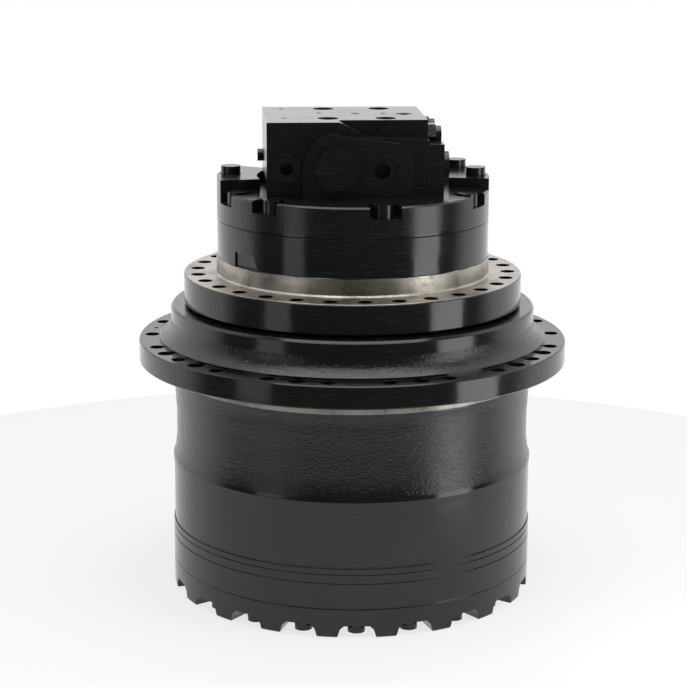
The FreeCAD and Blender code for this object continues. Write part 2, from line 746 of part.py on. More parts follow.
def motor_case():
    """Spindle, frame flange and motor case in one casting."""
    bore = sun_shaft_radius + 8.0
    seal_floor = motor_floor - front_bearing_height - seal_height
    bearing_floor = motor_floor - front_bearing_height
    outline = [
        (bore, carrier_2_hub), (carrier_spigot_radius, carrier_2_hub), (carrier_spigot_radius, carrier_2_top),
        (clamp_rim_radius - 0.3, carrier_2_top), (clamp_rim_radius - 0.3, lower_bearing),
        (bearing_inner_radius, lower_bearing), (bearing_inner_radius, spindle_shoulder),
        (race_inner_radius, spindle_shoulder), (race_inner_radius, seal_face + 1),
        (seal_inner_radius - 1, seal_face + 1), (seal_inner_radius - 1, seal_face + 15),
        (seal_bore_radius, seal_face + 15), (seal_bore_radius, seal_face + 4),
        (spindle_neck_radius, seal_face + 4), (spindle_neck_radius, frame_bottom),
        (frame_flange_radius - flange_chamfer, frame_bottom),
        (frame_flange_radius, frame_bottom + flange_chamfer),
        (frame_flange_radius, frame_top - flange_chamfer), (frame_flange_radius - flange_chamfer, frame_top),
        (spigot_radius + 2, frame_top), (spigot_radius, frame_top + 2),
        (spigot_radius, frame_top + spigot_height), (case_radius, frame_top + spigot_height + 0.5),
        (case_radius, case_top - 0.6), (case_radius - 0.8, case_top), (brake_bore_radius, case_top),
        (brake_bore_radius, brake_floor),
        (motor_bore_radius, brake_floor - 8), (motor_bore_radius, motor_floor),
        (front_bearing_radius, motor_floor), (front_bearing_radius, bearing_floor),
        (shaft_seal_radius, bearing_floor), (shaft_seal_radius, seal_floor), (bore, seal_floor)]
    case = turned(outline)
    hole = cylinder(frame_hole_radius, frame_bottom - 1, frame_top + 1, frame_hole_circle)
    cuts = around(hole, frame_hole_count, 270)
    for angle in case_screw_angles:
        place = polar(case_screw_circle, angle)
        cuts.append(cylinder(case_screw_radius + seat_gap, case_top - case_screw_grip - 2, case_top + 1,
                             place.x, place.y))
    for place in carrier_screw_places():
        cuts.append(cylinder(hub_screw_radius + seat_gap, carrier_2_top - 1,
                             carrier_2_top + carrier_screw_grip + 2, place.x, place.y))
    for x in (-pivot_offset, pivot_offset):
        cuts.append(cylinder(pivot_radius + seat_gap, motor_floor - pivot_depth, motor_floor + 1, x))
    cuts.append(cylinder(speed_piston_radius + seat_gap, motor_floor - speed_piston_depth - 1,
                         motor_floor + 1, 0, speed_piston_offset))
    cuts.append(spun(case_notch(), notch_angle))
    return drilled(case, cuts)


def case_notch():
    """Flat spot in the case's side above the spigot, with one slanted end."""
    bottom = frame_top + spigot_height
    top = bottom + notch_height
    points = [
        Vector(-notch_width / 2, 0, bottom), Vector(notch_width / 2, 0, bottom),
        Vector(notch_width / 2 - 8, 0, top), Vector(-notch_width / 2, 0, top)]
    face = Part.Face(Part.makePolygon(points + points[:1]))
    face.translate(Vector(0, notch_depth - case_radius, 0))
    return face.extrude(Vector(0, -3 * notch_depth, 0))


# ---- travel motor -------------------------------------------------------------------------------------

def drive_shaft():
    """Motor shaft: splined socket for the sun shaft, front journal, block spline and rear journal."""
    front = cylinder(front_journal_radius, drive_shaft_bottom, motor_floor + 1)
    middle = cylinder(drive_shaft_radius, motor_floor, port_face + 2)
    rear = cylinder(rear_journal_radius, port_face, port_face + rear_journal_height)
    socket = cylinder(sun_shaft_radius + seat_gap, drive_shaft_bottom - 1, sun_shaft_top + 1)
    return front.fuse(middle).fuse(rear).cut(socket)


def shaft_bearings():
    """Front and rear shaft bearings, each drawn as one ring."""
    front = tube(front_bearing_radius, front_journal_radius + running_gap,
                 motor_floor - front_bearing_height, motor_floor - 1)
    rear = tube(rear_bearing_radius, rear_journal_radius + running_gap,
                rear_bearing_bottom, rear_bearing_bottom + rear_bearing_height)
    return group([front, rear])


def shaft_seal():
    top = motor_floor - front_bearing_height
    return tube(shaft_seal_radius, front_journal_radius + running_gap, top - seal_height, top - 0.5)


def swash_plate():
    """Swash plate, drawn square to the shaft, rocking on two pivots and pushed by the speed piston."""
    plate = cylinder(swash_radius, swash_bottom, swash_face)
    half = 3 * pivot_radius
    back = box(-swash_radius, swash_radius, -half, half, pivot_top, swash_bottom)
    plate = plate.fuse(back.common(cylinder(swash_radius - 6, pivot_top - 1, swash_bottom + 1)))
    cuts = [cylinder(drive_shaft_radius + 9, pivot_top - 2, swash_face + 1)]
    for x in (-pivot_offset, pivot_offset):
        cuts.append(Part.makeSphere(pivot_radius + seat_gap, Vector(x, 0, pivot_top)))
    return drilled(plate, cuts)


def swash_pivots():
    """Round-ended pivots in the spindle's floor."""
    pivots = []
    for x in (-pivot_offset, pivot_offset):
        stem = cylinder(pivot_radius, motor_floor - pivot_depth, pivot_top, x)
        pivots.append(stem.fuse(Part.makeSphere(pivot_radius, Vector(x, 0, pivot_top))))
    return group(pivots)


def speed_piston():
    """Piston in the spindle's floor that tilts the swash plate for the high speed."""
    return cylinder(speed_piston_radius, motor_floor - speed_piston_depth, swash_bottom,
                    0, speed_piston_offset)


def cylinder_block():
    """Splined to the shaft, one bore for each piston, open at the swash end."""
    body = cylinder(cylinder_block_radius, cylinder_block_bottom, block_end)
    bore = cylinder(piston_radius + running_gap, cylinder_block_bottom - 1, block_end - 16, piston_circle)
    port = cylinder(cylinder_port_radius, block_end - 18, block_end + 1, piston_circle)
    cuts = around(bore, piston_count) + around(port, piston_count)
    cuts.append(cylinder(drive_shaft_radius + seat_gap, cylinder_block_bottom - 1, block_end + 1))
    return drilled(body, cuts)


def pistons():
    """Nine pistons, each with a narrower neck above its slipper."""
    shoulder = slipper_ball + 6
    piston = cylinder(piston_radius, shoulder, piston_top, piston_circle)
    neck = cylinder(piston_radius / 2, slipper_ball, shoulder, piston_circle)
    return group(around(piston.fuse(neck), piston_count))


def slippers():
    """Slippers that slide on the swash plate, drawn with the plate square to the shaft."""
    foot = cylinder(slipper_radius, swash_face + running_gap, swash_face + slipper_height, piston_circle)
    cup = cylinder(slipper_cup_radius, swash_face + slipper_height, slipper_ball, piston_circle)
    return group(around(foot.fuse(cup), piston_count))


def retainer_plate():
    """Plate that holds the slippers down on the swash plate."""
    bottom = swash_face + slipper_height
    top = bottom + retainer_thickness
    plate = tube(piston_circle + slipper_radius + 2, drive_shaft_radius + 8, bottom, top)
    hole = cylinder(slipper_cup_radius + seat_gap, bottom - 1, top + 1, piston_circle)
    return drilled(plate, around(hole, piston_count))


def retainer_guide():
    """Dome on the shaft that presses the retainer plate towards the swash plate."""
    bottom = swash_face + slipper_height
    step = bottom + retainer_thickness
    inner = drive_shaft_radius + seat_gap
    return turned([
        (inner, bottom), (drive_shaft_radius + 7.9, bottom), (drive_shaft_radius + 7.9, step),
        (drive_shaft_radius + 12, step), (drive_shaft_radius + 10, step + 8.5),
        (drive_shaft_radius + 6, cylinder_block_bottom), (inner, cylinder_block_bottom)])


def valve_plate():
    """Port plate between the cylinder block and the cover, with two kidney ports."""
    plate = tube(cylinder_block_radius - 2, rear_bearing_radius, block_end + running_gap, port_face)
    kidneys = tube(piston_circle + kidney_half_width, piston_circle - kidney_half_width,
                   block_end - 1, port_face + 1)
    half = kidney_bridge / 2
    bridge = box(-cylinder_block_radius, cylinder_block_radius, -half, half, block_end - 2, port_face + 2)
    return plate.cut(kidneys.cut(bridge))


# ---- parking brake ------------------------------------------------------------------------------------

def brake_plates():
    """Steel plates keyed to the case, one under each friction disc and one on top."""
    plates = []
    for index in range(brake_disc_count + 1):
        bottom = brake_floor + brake_pitch * index
        plates.append(tube(brake_bore_radius - seat_gap, brake_plate_inner, bottom,
                           bottom + brake_plate_thickness - running_gap))
    return group(plates)


def brake_discs():
    """Friction discs splined to the cylinder block."""
    discs = []
    for index in range(brake_disc_count):
        bottom = brake_floor + brake_pitch * index + brake_plate_thickness
        discs.append(tube(brake_disc_outer, cylinder_block_radius + seat_gap, bottom,
                          bottom + brake_disc_thickness - running_gap))
    return group(discs)


def brake_piston():
    """Ring piston that the springs press on the plates and oil pressure lifts off them."""
    outer = brake_bore_radius - running_gap
    return turned([
        (brake_plate_inner, brake_piston_bottom), (brake_disc_outer, brake_piston_bottom),
        (outer, brake_piston_bottom + 6), (outer, brake_piston_top), (brake_plate_inner, brake_piston_top)])


def brake_spring():
    """Two disc springs, back to back, between the brake piston and the cover."""
    inner = brake_plate_inner + 2
    outer = brake_bore_radius - 4
    middle = (brake_piston_top + case_top) / 2
    springs = []
    for end, sign in ((brake_piston_top, 1), (case_top, -1)):
        thick = sign * brake_spring_thickness
        springs.append(turned([(inner, end), (inner, end + thick), (outer, middle), (outer, middle - thick)]))
    return group(springs)


# ---- valve cover --------------------------------------------------------------------------------------

def block_front_outline(depth_from, depth_to):
    """Arched boss on the block's front, over the hexagon plug, running on as a shelf to the right."""
    left = spool_x - 39.5
    y = depth_from
    start = Vector(left, y, block_low)
    foot = Vector(left, y, spool_z + 2)
    shoulder = Vector(spool_x - 27, y, spool_z + 29)
    top = Vector(spool_x - 8, y, spool_z + 40)
    slope = Vector(spool_x + 20, y, spool_z + 35)
    shelf = Vector(boss_right - 14, y, spool_z + 29)
    corner = Vector(boss_right, y, spool_z + 15)
    end = Vector(boss_right, y, block_low)
    edges = [
        Part.makeLine(start, foot), Part.Arc(foot, shoulder, top).toShape(), Part.makeLine(top, slope),
        Part.makeLine(slope, shelf), Part.makeLine(shelf, corner), Part.makeLine(corner, end),
        Part.makeLine(end, start)]
    face = Part.Face(Part.Wire(edges))
    return face.extrude(Vector(0, depth_to - depth_from, 0))


def block_body():
    """Machined block: a set-back shelf at the upper right, an arched boss and round port bosses."""
    body = box(block_left, block_right, block_front, block_rear, block_low, block_top)
    shoulder = box(block_right - 5, shoulder_right, block_front + 2, block_rear - 12, block_low, shoulder_top)
    body = body.fuse(shoulder)
    slope = spool_x + 3
    past = block_right + 40
    setback = [
        Vector(slope, 0, block_top + 1), Vector(slope + 29, 0, shoulder_top + 12),
        Vector(slope + 29, 0, shoulder_top + 9), Vector(past, 0, shoulder_top + 3),
        Vector(past, 0, block_top + 1)]
    step = Part.Face(Part.makePolygon(setback + setback[:1]))
    step.translate(Vector(0, block_front - 1, 0))
    body = body.cut(step.extrude(Vector(0, setback_depth + 1, 0)))
    body = body.fuse(block_front_outline(boss_front, setback_front))
    hump = [
        Vector(hump_x - 19, 0, shoulder_top + 6), Vector(hump_x - 7, 0, block_top - 6),
        Vector(hump_x, 0, block_top - 2), Vector(hump_x + 7, 0, block_top - 6),
        Vector(hump_x + 19, 0, shoulder_top + 6)]
    hump_face = Part.Face(Part.makePolygon(hump + hump[:1]))
    hump_face.translate(Vector(0, setback_front - 9, 0))
    body = body.fuse(hump_face.extrude(Vector(0, 14, 0)))
    pilot = Vector(pilot_port_x, block_front + 5, pilot_port_z)
    body = body.fuse(rod(pilot_boss_radius, pilot, pilot + Vector(0, -5 - pilot_boss_depth, 0)))
    side = Vector(block_left + 1, side_cap_y, side_cap_z)
    return body.fuse(rod(side_cap_radius, side, side + Vector(-1 - side_cap_height, 0, 0)))


def rim_pads():
    """Raised pads on the cover's rim, at the left and the right of the block."""
    pads = []
    pad = tube(case_radius, pad_inner_radius, case_top, plate_top + pad_height)
    reach = 2 * case_radius
    for start, end in pad_sectors:
        points = [polar(0, 0, case_top), polar(reach, start, case_top),
                  polar(reach, (start + end) / 2, case_top), polar(reach, end, case_top)]
        wedge = Part.Face(Part.makePolygon(points + points[:1])).extrude(Vector(0, 0, block_height))
        pads.append(pad.common(wedge))
    return pads


def motor_cover():
    """Round cover and valve block in one casting, with pockets for the screw heads in its rim."""
    spigot = cylinder_block_radius + 4.0
    plate = turned([
        (0, port_face), (spigot, port_face), (spigot, case_top),
        (case_radius - 0.8, case_top), (case_radius, case_top + 0.8), (case_radius, plate_top - 2),
        (case_radius - 2, plate_top), (0, plate_top)])
    cover = plate.fuse(rim_pads() + [block_body()])
    cuts = []
    for angle in case_screw_angles:
        place = polar(case_screw_circle, angle)
        floor = screw_floor(angle)
        cuts.append(cylinder(case_screw_radius + screw_clearance, case_top - 1, floor + 1, place.x, place.y))
        cuts.append(cylinder(case_head_radius + head_clearance, floor, plate_top + pad_height + 1,
                             place.x, place.y))
        if floor < plate_top:
            half = case_pocket_width / 2
            mouth = box(case_screw_circle, case_radius + 10, -half, half, floor, floor + 40)
            mouth = mouth.fuse(cylinder(half, floor, floor + 40, case_screw_circle))
            keep = box(block_left - 3, shoulder_right + 3, boss_front - 3, block_rear + 3,
                       case_top, block_top)
            cuts.append(spun(mouth, angle).cut(keep))
    cuts.append(cylinder(rear_bearing_radius, port_face - 1, rear_bearing_bottom + rear_bearing_height))
    cuts.append(cylinder(rear_journal_radius + 3, port_face, port_face + rear_journal_height + 4))
    return drilled(cover, cuts + block_bores())


def screw_floor(angle):
    """Height of a cover screw's seat: on top of the pads, in a pocket elsewhere."""
    on_pad = any(start < angle < end or start < angle - 360 < end for start, end in pad_sectors)
    return plate_top + pad_height - pad_recess if on_pad else plate_top - case_pocket_depth


def motor_cover_screws():
    screws = []
    for angle in case_screw_angles:
        place = polar(case_screw_circle, angle)
        floor = screw_floor(angle)
        head = cylinder(case_head_radius, floor, floor + case_head_height, place.x, place.y)
        shank = cylinder(case_screw_radius, case_top - case_screw_grip, floor, place.x, place.y)
        screws.append(head.fuse(shank))
    return group(screws)


def block_bores():
    """Holes in the valve block: spools, ports, relief valves, plugs and small tapped holes."""
    bores = []
    front = Vector(spool_x, boss_front - 1, spool_z)
    rear = Vector(spool_x, block_rear + 1, spool_z)
    bores.append(rod(spool_radius + running_gap, front, rear))
    plug_bore = plug_body_radius + seat_gap
    bores.append(rod(plug_bore, front, Vector(spool_x, boss_front + hex_plug_depth + 2, spool_z)))
    bores.append(rod(plug_bore, rear, Vector(spool_x, block_rear - hex_plug_depth - 2, spool_z)))
    drain = Vector(drain_port_x, boss_front - 1, drain_port_z)
    bores.append(rod(drain_port_radius, drain, drain + Vector(0, drain_port_depth + 1, 0)))
    bores.append(rod(drain_spot_radius, drain, drain + Vector(0, drain_spot_depth + 1, 0)))
    pilot = Vector(pilot_port_x, block_front - pilot_boss_depth - 1, pilot_port_z)
    bores.append(rod(pilot_port_radius, pilot, pilot + Vector(0, pilot_port_depth + 1, 0)))
    for side in (-1, 1):
        port = Vector(spool_x + side * main_port_spacing / 2, block_rear + 1, main_port_z)
        bores.append(rod(main_port_radius, port, port + Vector(0, -main_port_depth - 1, 0)))
        for across in (-1, 1):
            for up in (-1, 1):
                corner = port + Vector(across * flange_bolt_short / 2, 0, up * flange_bolt_long / 2)
                bores.append(rod(flange_bolt_radius, corner, corner + Vector(0, -flange_bolt_depth - 1, 0)))
    for y in relief_places:
        seat = Vector(block_right, y, relief_z)
        bores.append(rod(relief_body_radius + seat_gap, seat + Vector(1, 0, 0),
                         seat + Vector(-relief_body_depth - 2, 0, 0)))
        bores.append(rod(relief_pocket_radius, seat, Vector(shoulder_right + 5, y, relief_z)))
    speed = Vector(shoulder_right, speed_y, speed_z)
    out = speed + Vector(1, 0, 0)
    bores.append(rod(speed_spool_radius + running_gap, out, speed + Vector(-speed_bore_depth, 0, 0)))
    bores.append(rod(speed_cap_body + seat_gap, out, speed + Vector(-speed_cap_depth, 0, 0)))
    for x, y in plug_places:
        bores.append(cylinder(plug_radius + seat_gap, block_top - plug_depth - 1, block_top + 1, x, y))
    for x, y in small_hole_places:
        bores.append(cylinder(small_hole_radius, block_top - small_hole_depth, block_top + 1, x, y))
    x, y = cavity_plug_place
    cavity_floor = block_top - cavity_plug_depth - 1
    bores.append(cylinder(cavity_plug_radius + seat_gap, cavity_floor, block_top + 1, x, y))
    return bores


def hex_plugs():
    """Front and rear plugs that close the counterbalance spool's bore."""
    plugs = []
    for face, out in ((boss_front, -1), (block_rear, 1)):
        start = Vector(spool_x, face, spool_z)
        plug = hexagon(hex_across_flats, start, start + Vector(0, hex_head_height * out, 0))
        plug = plug.fuse(rod(plug_body_radius, start, start + Vector(0, -hex_plug_depth * out, 0)))
        hollow = start + Vector(0, (-hex_plug_depth - 1) * out, 0)
        plugs.append(plug.cut(rod(spool_radius - 3, hollow, start + Vector(0, -4 * out, 0))))
    return group(plugs)


def counterbalance_spool():
    """Spool with three lands, centred between the two plugs with its full travel free at each end."""
    length = spool_rear - spool_front
    start = Vector(spool_x, spool_front, spool_z)
    spool = rod(spool_radius - 5, start, Vector(spool_x, spool_rear, spool_z))
    for share in (0.0, 0.4, 0.8):
        land = start + Vector(0, length * share, 0)
        spool = spool.fuse(rod(spool_radius, land, land + Vector(0, length * 0.2, 0)))
    return spool


def spool_springs():
    """One spring at each end of the spool, each drawn as a sleeve, shorter by the spool's travel."""
    springs = []
    for end, out in ((spool_front, -1), (spool_rear, 1)):
        start = Vector(spool_x, end, spool_z)
        reach = start + Vector(0, out * spool_spring_length, 0)
        springs.append(rod(spool_radius - 4, start, reach).cut(rod(spool_radius - 7, start, reach)))
    return group(springs)


def relief_valves():
    """Screw-in relief cartridges with hexagon caps on the block's right face."""
    valves = []
    for y in relief_places:
        seat = Vector(block_right, y, relief_z)
        body = rod(relief_body_radius, seat + Vector(-relief_body_depth, 0, 0), seat)
        step = seat + Vector(relief_head_height, 0, 0)
        cap = hexagon(relief_across_flats, seat, step)
        nut = rod(relief_nut_radius, step, step + Vector(relief_nut_height, 0, 0))
        valves.append(body.fuse([cap, nut]))
    return group(valves)


def speed_valve_cap():
    """Cap that closes the two-speed spool's bore on the block's right face."""
    seat = Vector(shoulder_right, speed_y, speed_z)
    cap = rod(speed_cap_radius, seat, seat + Vector(speed_cap_height, 0, 0))
    return cap.fuse(rod(speed_cap_body, seat + Vector(-speed_cap_depth, 0, 0), seat))


def speed_spool():
    """Two-speed valve spool, resting on its cap."""
    left = Vector(speed_spool_left, speed_y, speed_z)
    spool = rod(speed_spool_radius - 3.5, left, Vector(speed_spool_right, speed_y, speed_z))
    for start in (speed_spool_left, speed_spool_right - speed_land_width):
        land = Vector(start, speed_y, speed_z)
        spool = spool.fuse(rod(speed_spool_radius, land, land + Vector(speed_land_width, 0, 0)))
    return spool


def speed_spring():
    """Return spring of the two-speed spool, drawn as a sleeve, shorter by the spool's travel."""
    floor = Vector(shoulder_right - speed_bore_depth, speed_y, speed_z)
    end = Vector(speed_spool_left - speed_spool_travel - 1, speed_y, speed_z)
    return rod(speed_spool_radius - 1, floor, end).cut(rod(speed_spool_radius - 4, floor, end))


def passage_plugs():
    """Plugs with hexagon sockets in the block's top."""
    plugs = []
    for x, y in plug_places:
        plug = cylinder(plug_radius, block_top - plug_depth, block_top - plug_sink, x, y)
        plugs.append(plug.cut(hexagon(plug_socket, Vector(x, y, block_top - 8), Vector(x, y, block_top))))
    x, y = cavity_plug_place
    plug = cylinder(cavity_plug_radius, block_top - cavity_plug_depth, block_top - cavity_plug_sink, x, y)
    plugs.append(plug.cut(hexagon(cavity_plug_socket, Vector(x, y, block_top - 6), Vector(x, y, block_top))))
    return group(plugs)


# ---- writing the pieces -------------------------------------------------------------------------------

def planets():
    for index in range(planet_2_count):
        angle = 2 * math.pi * index / planet_2_count
        gear = planet_gear(planet_2_teeth, planet_2_bottom, planet_2_top, needle_2_radius + running_gap,
                           centre_2, angle, sun_2_teeth)
        save("planet_2_" + "abcdef"[index], gear)
    for index in range(planet_1_count):
        angle = 2 * math.pi * index / planet_1_count
        gear = planet_gear(planet_1_teeth, planet_1_bottom, planet_1_top, needle_1_radius + running_gap,
                           centre_1, angle, sun_1_teeth)
        save("planet_1_" + "abcdef"[index], gear)


def main():
    os.makedirs("parts", exist_ok=True)
    save("hub_housing", hub_housing())
    save("ring_gear", ring_gear())
    save("hub_cover", hub_cover())
    save("hub_cover_screws", hub_screws())
    save("oil_plugs", oil_plugs())
    save("thrust_plate", thrust_plate())
    save("main_bearing_outer_rings", bearing_rings(bearing_outer_radius, race_outer_radius))
    save("main_bearing_inner_rings", bearing_rings(race_inner_radius, bearing_inner_radius))
    save("main_bearing_rollers", main_bearing_rollers())
    save("seal_ring_upper", seal_ring(True))
    save("seal_ring_lower", seal_ring(False))
    save("toric_ring_upper", toric_ring(True))
    save("toric_ring_lower", toric_ring(False))
    save("motor_case", motor_case())
    save("carrier_2", carrier_2())
    save("carrier_2_screws", carrier_2_screws())
    save("carrier_2_pins", pins(pin_2_radius, carrier_2_bottom, carrier_2_top, centre_2, planet_2_count))
    save("planet_2_needles", needles(pin_2_radius, needle_2_radius, planet_2_bottom, planet_2_top,
                                     centre_2, planet_2_count))
    save("planet_2_washers", washers(pin_2_radius, washer_2_width, planet_2_bottom, planet_2_top,
                                     centre_2, planet_2_count))
    save("carrier_1", carrier_1())
    save("carrier_1_pins", pins(pin_1_radius, carrier_1_bottom, carrier_1_top, centre_1, planet_1_count))
    save("planet_1_needles", needles(pin_1_radius, needle_1_radius, planet_1_bottom, planet_1_top,
                                     centre_1, planet_1_count))
    save("planet_1_washers", washers(pin_1_radius, washer_1_width, planet_1_bottom, planet_1_top,
                                     centre_1, planet_1_count))
    planets()
    save("sun_2", sun_2())
    save("sun_shaft", sun_shaft())
    save("drive_shaft", drive_shaft())
    save("shaft_bearings", shaft_bearings())
    save("shaft_seal", shaft_seal())
    save("swash_plate", swash_plate())
    save("swash_pivots", swash_pivots())
    save("speed_piston", speed_piston())
    save("cylinder_block", cylinder_block())
    save("pistons", pistons())
    save("slippers", slippers())
    save("retainer_plate", retainer_plate())
    save("retainer_guide", retainer_guide())
    save("valve_plate", valve_plate())
    save("brake_plates", brake_plates())
    save("brake_discs", brake_discs())
    save("brake_piston", brake_piston())
    save("brake_spring", brake_spring())
    save("motor_cover", motor_cover())
    save("motor_cover_screws", motor_cover_screws())
    save("counterbalance_plugs", hex_plugs())
    save("counterbalance_spool", counterbalance_spool())
    save("spool_springs", spool_springs())
    save("relief_valves", relief_valves())
    save("speed_valve_cap", speed_valve_cap())
    save("speed_spool", speed_spool())
    save("speed_spring", speed_spring())
    save("passage_plugs", passage_plugs())


main()
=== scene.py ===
import json
import math
import bmesh
import bpy
from mathutils import Matrix, Vector


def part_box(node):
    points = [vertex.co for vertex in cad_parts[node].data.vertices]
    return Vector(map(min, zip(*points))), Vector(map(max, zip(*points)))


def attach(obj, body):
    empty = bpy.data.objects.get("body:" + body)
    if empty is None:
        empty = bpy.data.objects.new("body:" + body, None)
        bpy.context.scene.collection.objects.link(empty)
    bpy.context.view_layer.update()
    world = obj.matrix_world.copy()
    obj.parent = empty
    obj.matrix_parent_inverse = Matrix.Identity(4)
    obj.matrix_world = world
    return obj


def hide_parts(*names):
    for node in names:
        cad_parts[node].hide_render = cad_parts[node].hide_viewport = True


# Excavator final drive: a travel motor with its valve block on a planetary hub, all painted black.
# Metres, +Z up the drive's axis, -Y the valve block's front.

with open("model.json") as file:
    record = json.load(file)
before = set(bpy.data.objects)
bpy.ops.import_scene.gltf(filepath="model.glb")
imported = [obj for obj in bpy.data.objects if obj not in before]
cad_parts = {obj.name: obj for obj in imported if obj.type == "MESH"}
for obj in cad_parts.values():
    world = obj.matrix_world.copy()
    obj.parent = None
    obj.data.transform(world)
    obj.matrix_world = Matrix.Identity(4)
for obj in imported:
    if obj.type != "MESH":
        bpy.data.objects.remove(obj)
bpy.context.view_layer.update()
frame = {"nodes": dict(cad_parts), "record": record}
nodes = frame["nodes"]
mounts = {mount["name"]: mount for mount in frame["record"]["mounts"]}
print("frame loaded:", len(nodes), "nodes")


def mountLength(name):
    return mounts[name]["dims"]["length_mm"] / 1000


# Heights that the finishes follow: machined faces from the mounts, castings from their boxes
spigotChamfer = 0.002
flangeTop = mounts["frame_bolts"]["pos_m"][2]
spigotTop = flangeTop + mountLength("frame_pilot") + spigotChamfer
sprocketFace = mounts["sprocket_bolts"]["pos_m"][2]
pilotBottom = sprocketFace - mountLength("sprocket_pilot")
drumTop = 0.169
# above the sprocket flange and below the turned top of the hub
waistBottom = sprocketFace + 0.03
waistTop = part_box("hub_housing")[1].z - 0.016
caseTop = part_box("motor_case")[1].z
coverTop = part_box("motor_cover")[1].z


def addNode(tree, kind, inputs=None, **settings):
    node = tree.nodes.new(kind)
    for key, value in settings.items():
        setattr(node, key, value)
    for key, value in (inputs or {}).items():
        if isinstance(value, bpy.types.NodeSocket):
            tree.links.new(value, node.inputs[key])
        else:
            node.inputs[key].default_value = value
    return node


def addMath(tree, operation, first, second=0.0, third=0.0, clamp=False):
    node = addNode(tree, "ShaderNodeMath", {0: first, 1: second, 2: third}, operation=operation,
                   use_clamp=clamp)
    return node.outputs[0]


def addStep(tree, value, low, high):
    # 0 below low and 1 above high, eased between
    node = addNode(tree, "ShaderNodeMapRange", {"Value": value, "From Min": low, "From Max": high},
                   interpolation_type="SMOOTHSTEP")
    return node.outputs[0]


def addBump(tree, height, strength, distance, normal=None):
    inputs = {"Height": height, "Strength": strength, "Distance": distance}
    if normal is not None:
        inputs["Normal"] = normal
    return addNode(tree, "ShaderNodeBump", inputs).outputs[0]


def mixColour(tree, factor, first, second):
    node = addNode(tree, "ShaderNodeMix", {0: factor, 6: first, 7: second}, data_type="RGBA")
    return node.outputs[2]


def mixValue(tree, factor, first, second):
    node = addNode(tree, "ShaderNodeMix", {0: factor, 2: first, 3: second}, data_type="FLOAT")
    return node.outputs[0]


# 1 inside each band of heights. bottom and top are the heights that its lower and upper edge follow.
def makeBands(tree, bands, bottom, top, fadeBottom, fadeTop):
    total = None
    for low, high in bands:
        above = addStep(tree, bottom, low, low + fadeBottom)
        below = addMath(tree, "SUBTRACT", 1.0, addStep(tree, top, high - fadeTop, high))
        band = addMath(tree, "MULTIPLY", above, below)
        total = band if total is None else addMath(tree, "MAXIMUM", total, band)
    return total


def newGroup(name, inputs, outputs):
    tree = bpy.data.node_groups.new(name, "ShaderNodeTree")
    for label, kind, value in inputs:
        socket = tree.interface.new_socket(label, in_out="INPUT", socket_type=kind)
        if value is not None:
            socket.default_value = value
    for label, kind in outputs:
        tree.interface.new_socket(label, in_out="OUTPUT", socket_type=kind)
    return tree, tree.nodes.new("NodeGroupInput").outputs, tree.nodes.new("NodeGroupOutput")


def placeGroup(tree, group, inputs):
    return addNode(tree, "ShaderNodeGroup", node_tree=group, inputs=inputs).outputs


# Skin of a sand casting under paint: coarse swells, fine grains and a few pits
castSizes = {"grains": 380.0, "swells": 70.0, "pits": 260.0}
castDepths = {"grains": 0.8, "swells": 0.5, "pits": 0.35}


def makeCastSkin():
    tree, given, out = newGroup("castSkin", [
        ("Vector", "NodeSocketVector", None), ("Scale", "NodeSocketFloat", 1.0)],
        [("Height", "NodeSocketFloat")])
    scales = {key: addMath(tree, "MULTIPLY", given["Scale"], size) for key, size in castSizes.items()}
    grains = addNode(tree, "ShaderNodeTexNoise", {
        "Vector": given["Vector"], "Scale": scales["grains"], "Detail": 3.0, "Roughness": 0.62})
    swells = addNode(tree, "ShaderNodeTexNoise", {
        "Vector": given["Vector"], "Scale": scales["swells"], "Detail": 2.0})
    pits = addNode(tree, "ShaderNodeTexVoronoi", {"Vector": given["Vector"], "Scale": scales["pits"]})
    dents = addMath(tree, "MULTIPLY", addStep(tree, pits.outputs["Distance"], 0.1, 0.42), castDepths["pits"])
    height = addMath(tree, "MULTIPLY_ADD", grains.outputs[0], castDepths["grains"], dents)
    total = addMath(tree, "MULTIPLY_ADD", swells.outputs[0], castDepths["swells"], height)
    tree.links.new(total, out.inputs["Height"])
    return tree


# Concentric tool marks of turning, from the distance to the axis and the height
def makeTurning():
    tree, given, out = newGroup("turning", [
        ("Vector", "NodeSocketVector", None), ("Pitch", "NodeSocketFloat", 900.0)], [
        ("Height", "NodeSocketFloat"), ("Tone", "NodeSocketFloat")])
    parts = addNode(tree, "ShaderNodeSeparateXYZ", {0: given["Vector"]})
    flat = addNode(tree, "ShaderNodeCombineXYZ", {0: parts.outputs[0], 1: parts.outputs[1]})
    radius = addNode(tree, "ShaderNodeVectorMath", {0: flat.outputs[0]}, operation="LENGTH").outputs["Value"]
    turned = addNode(tree, "ShaderNodeCombineXYZ", {0: radius, 1: parts.outputs[2]})
    fine = addNode(tree, "ShaderNodeTexNoise", {
        "Vector": turned.outputs[0], "Scale": given["Pitch"], "Detail": 3.0, "Roughness": 0.7},
        noise_dimensions="2D")
    broad = addNode(tree, "ShaderNodeTexNoise", {
        "Vector": turned.outputs[0], "Scale": addMath(tree, "MULTIPLY", given["Pitch"], 0.12),
        "Detail": 2.0}, noise_dimensions="2D")
    tree.links.new(fine.outputs[0], out.inputs["Height"])
    tree.links.new(broad.outputs[0], out.inputs["Tone"])
    return tree


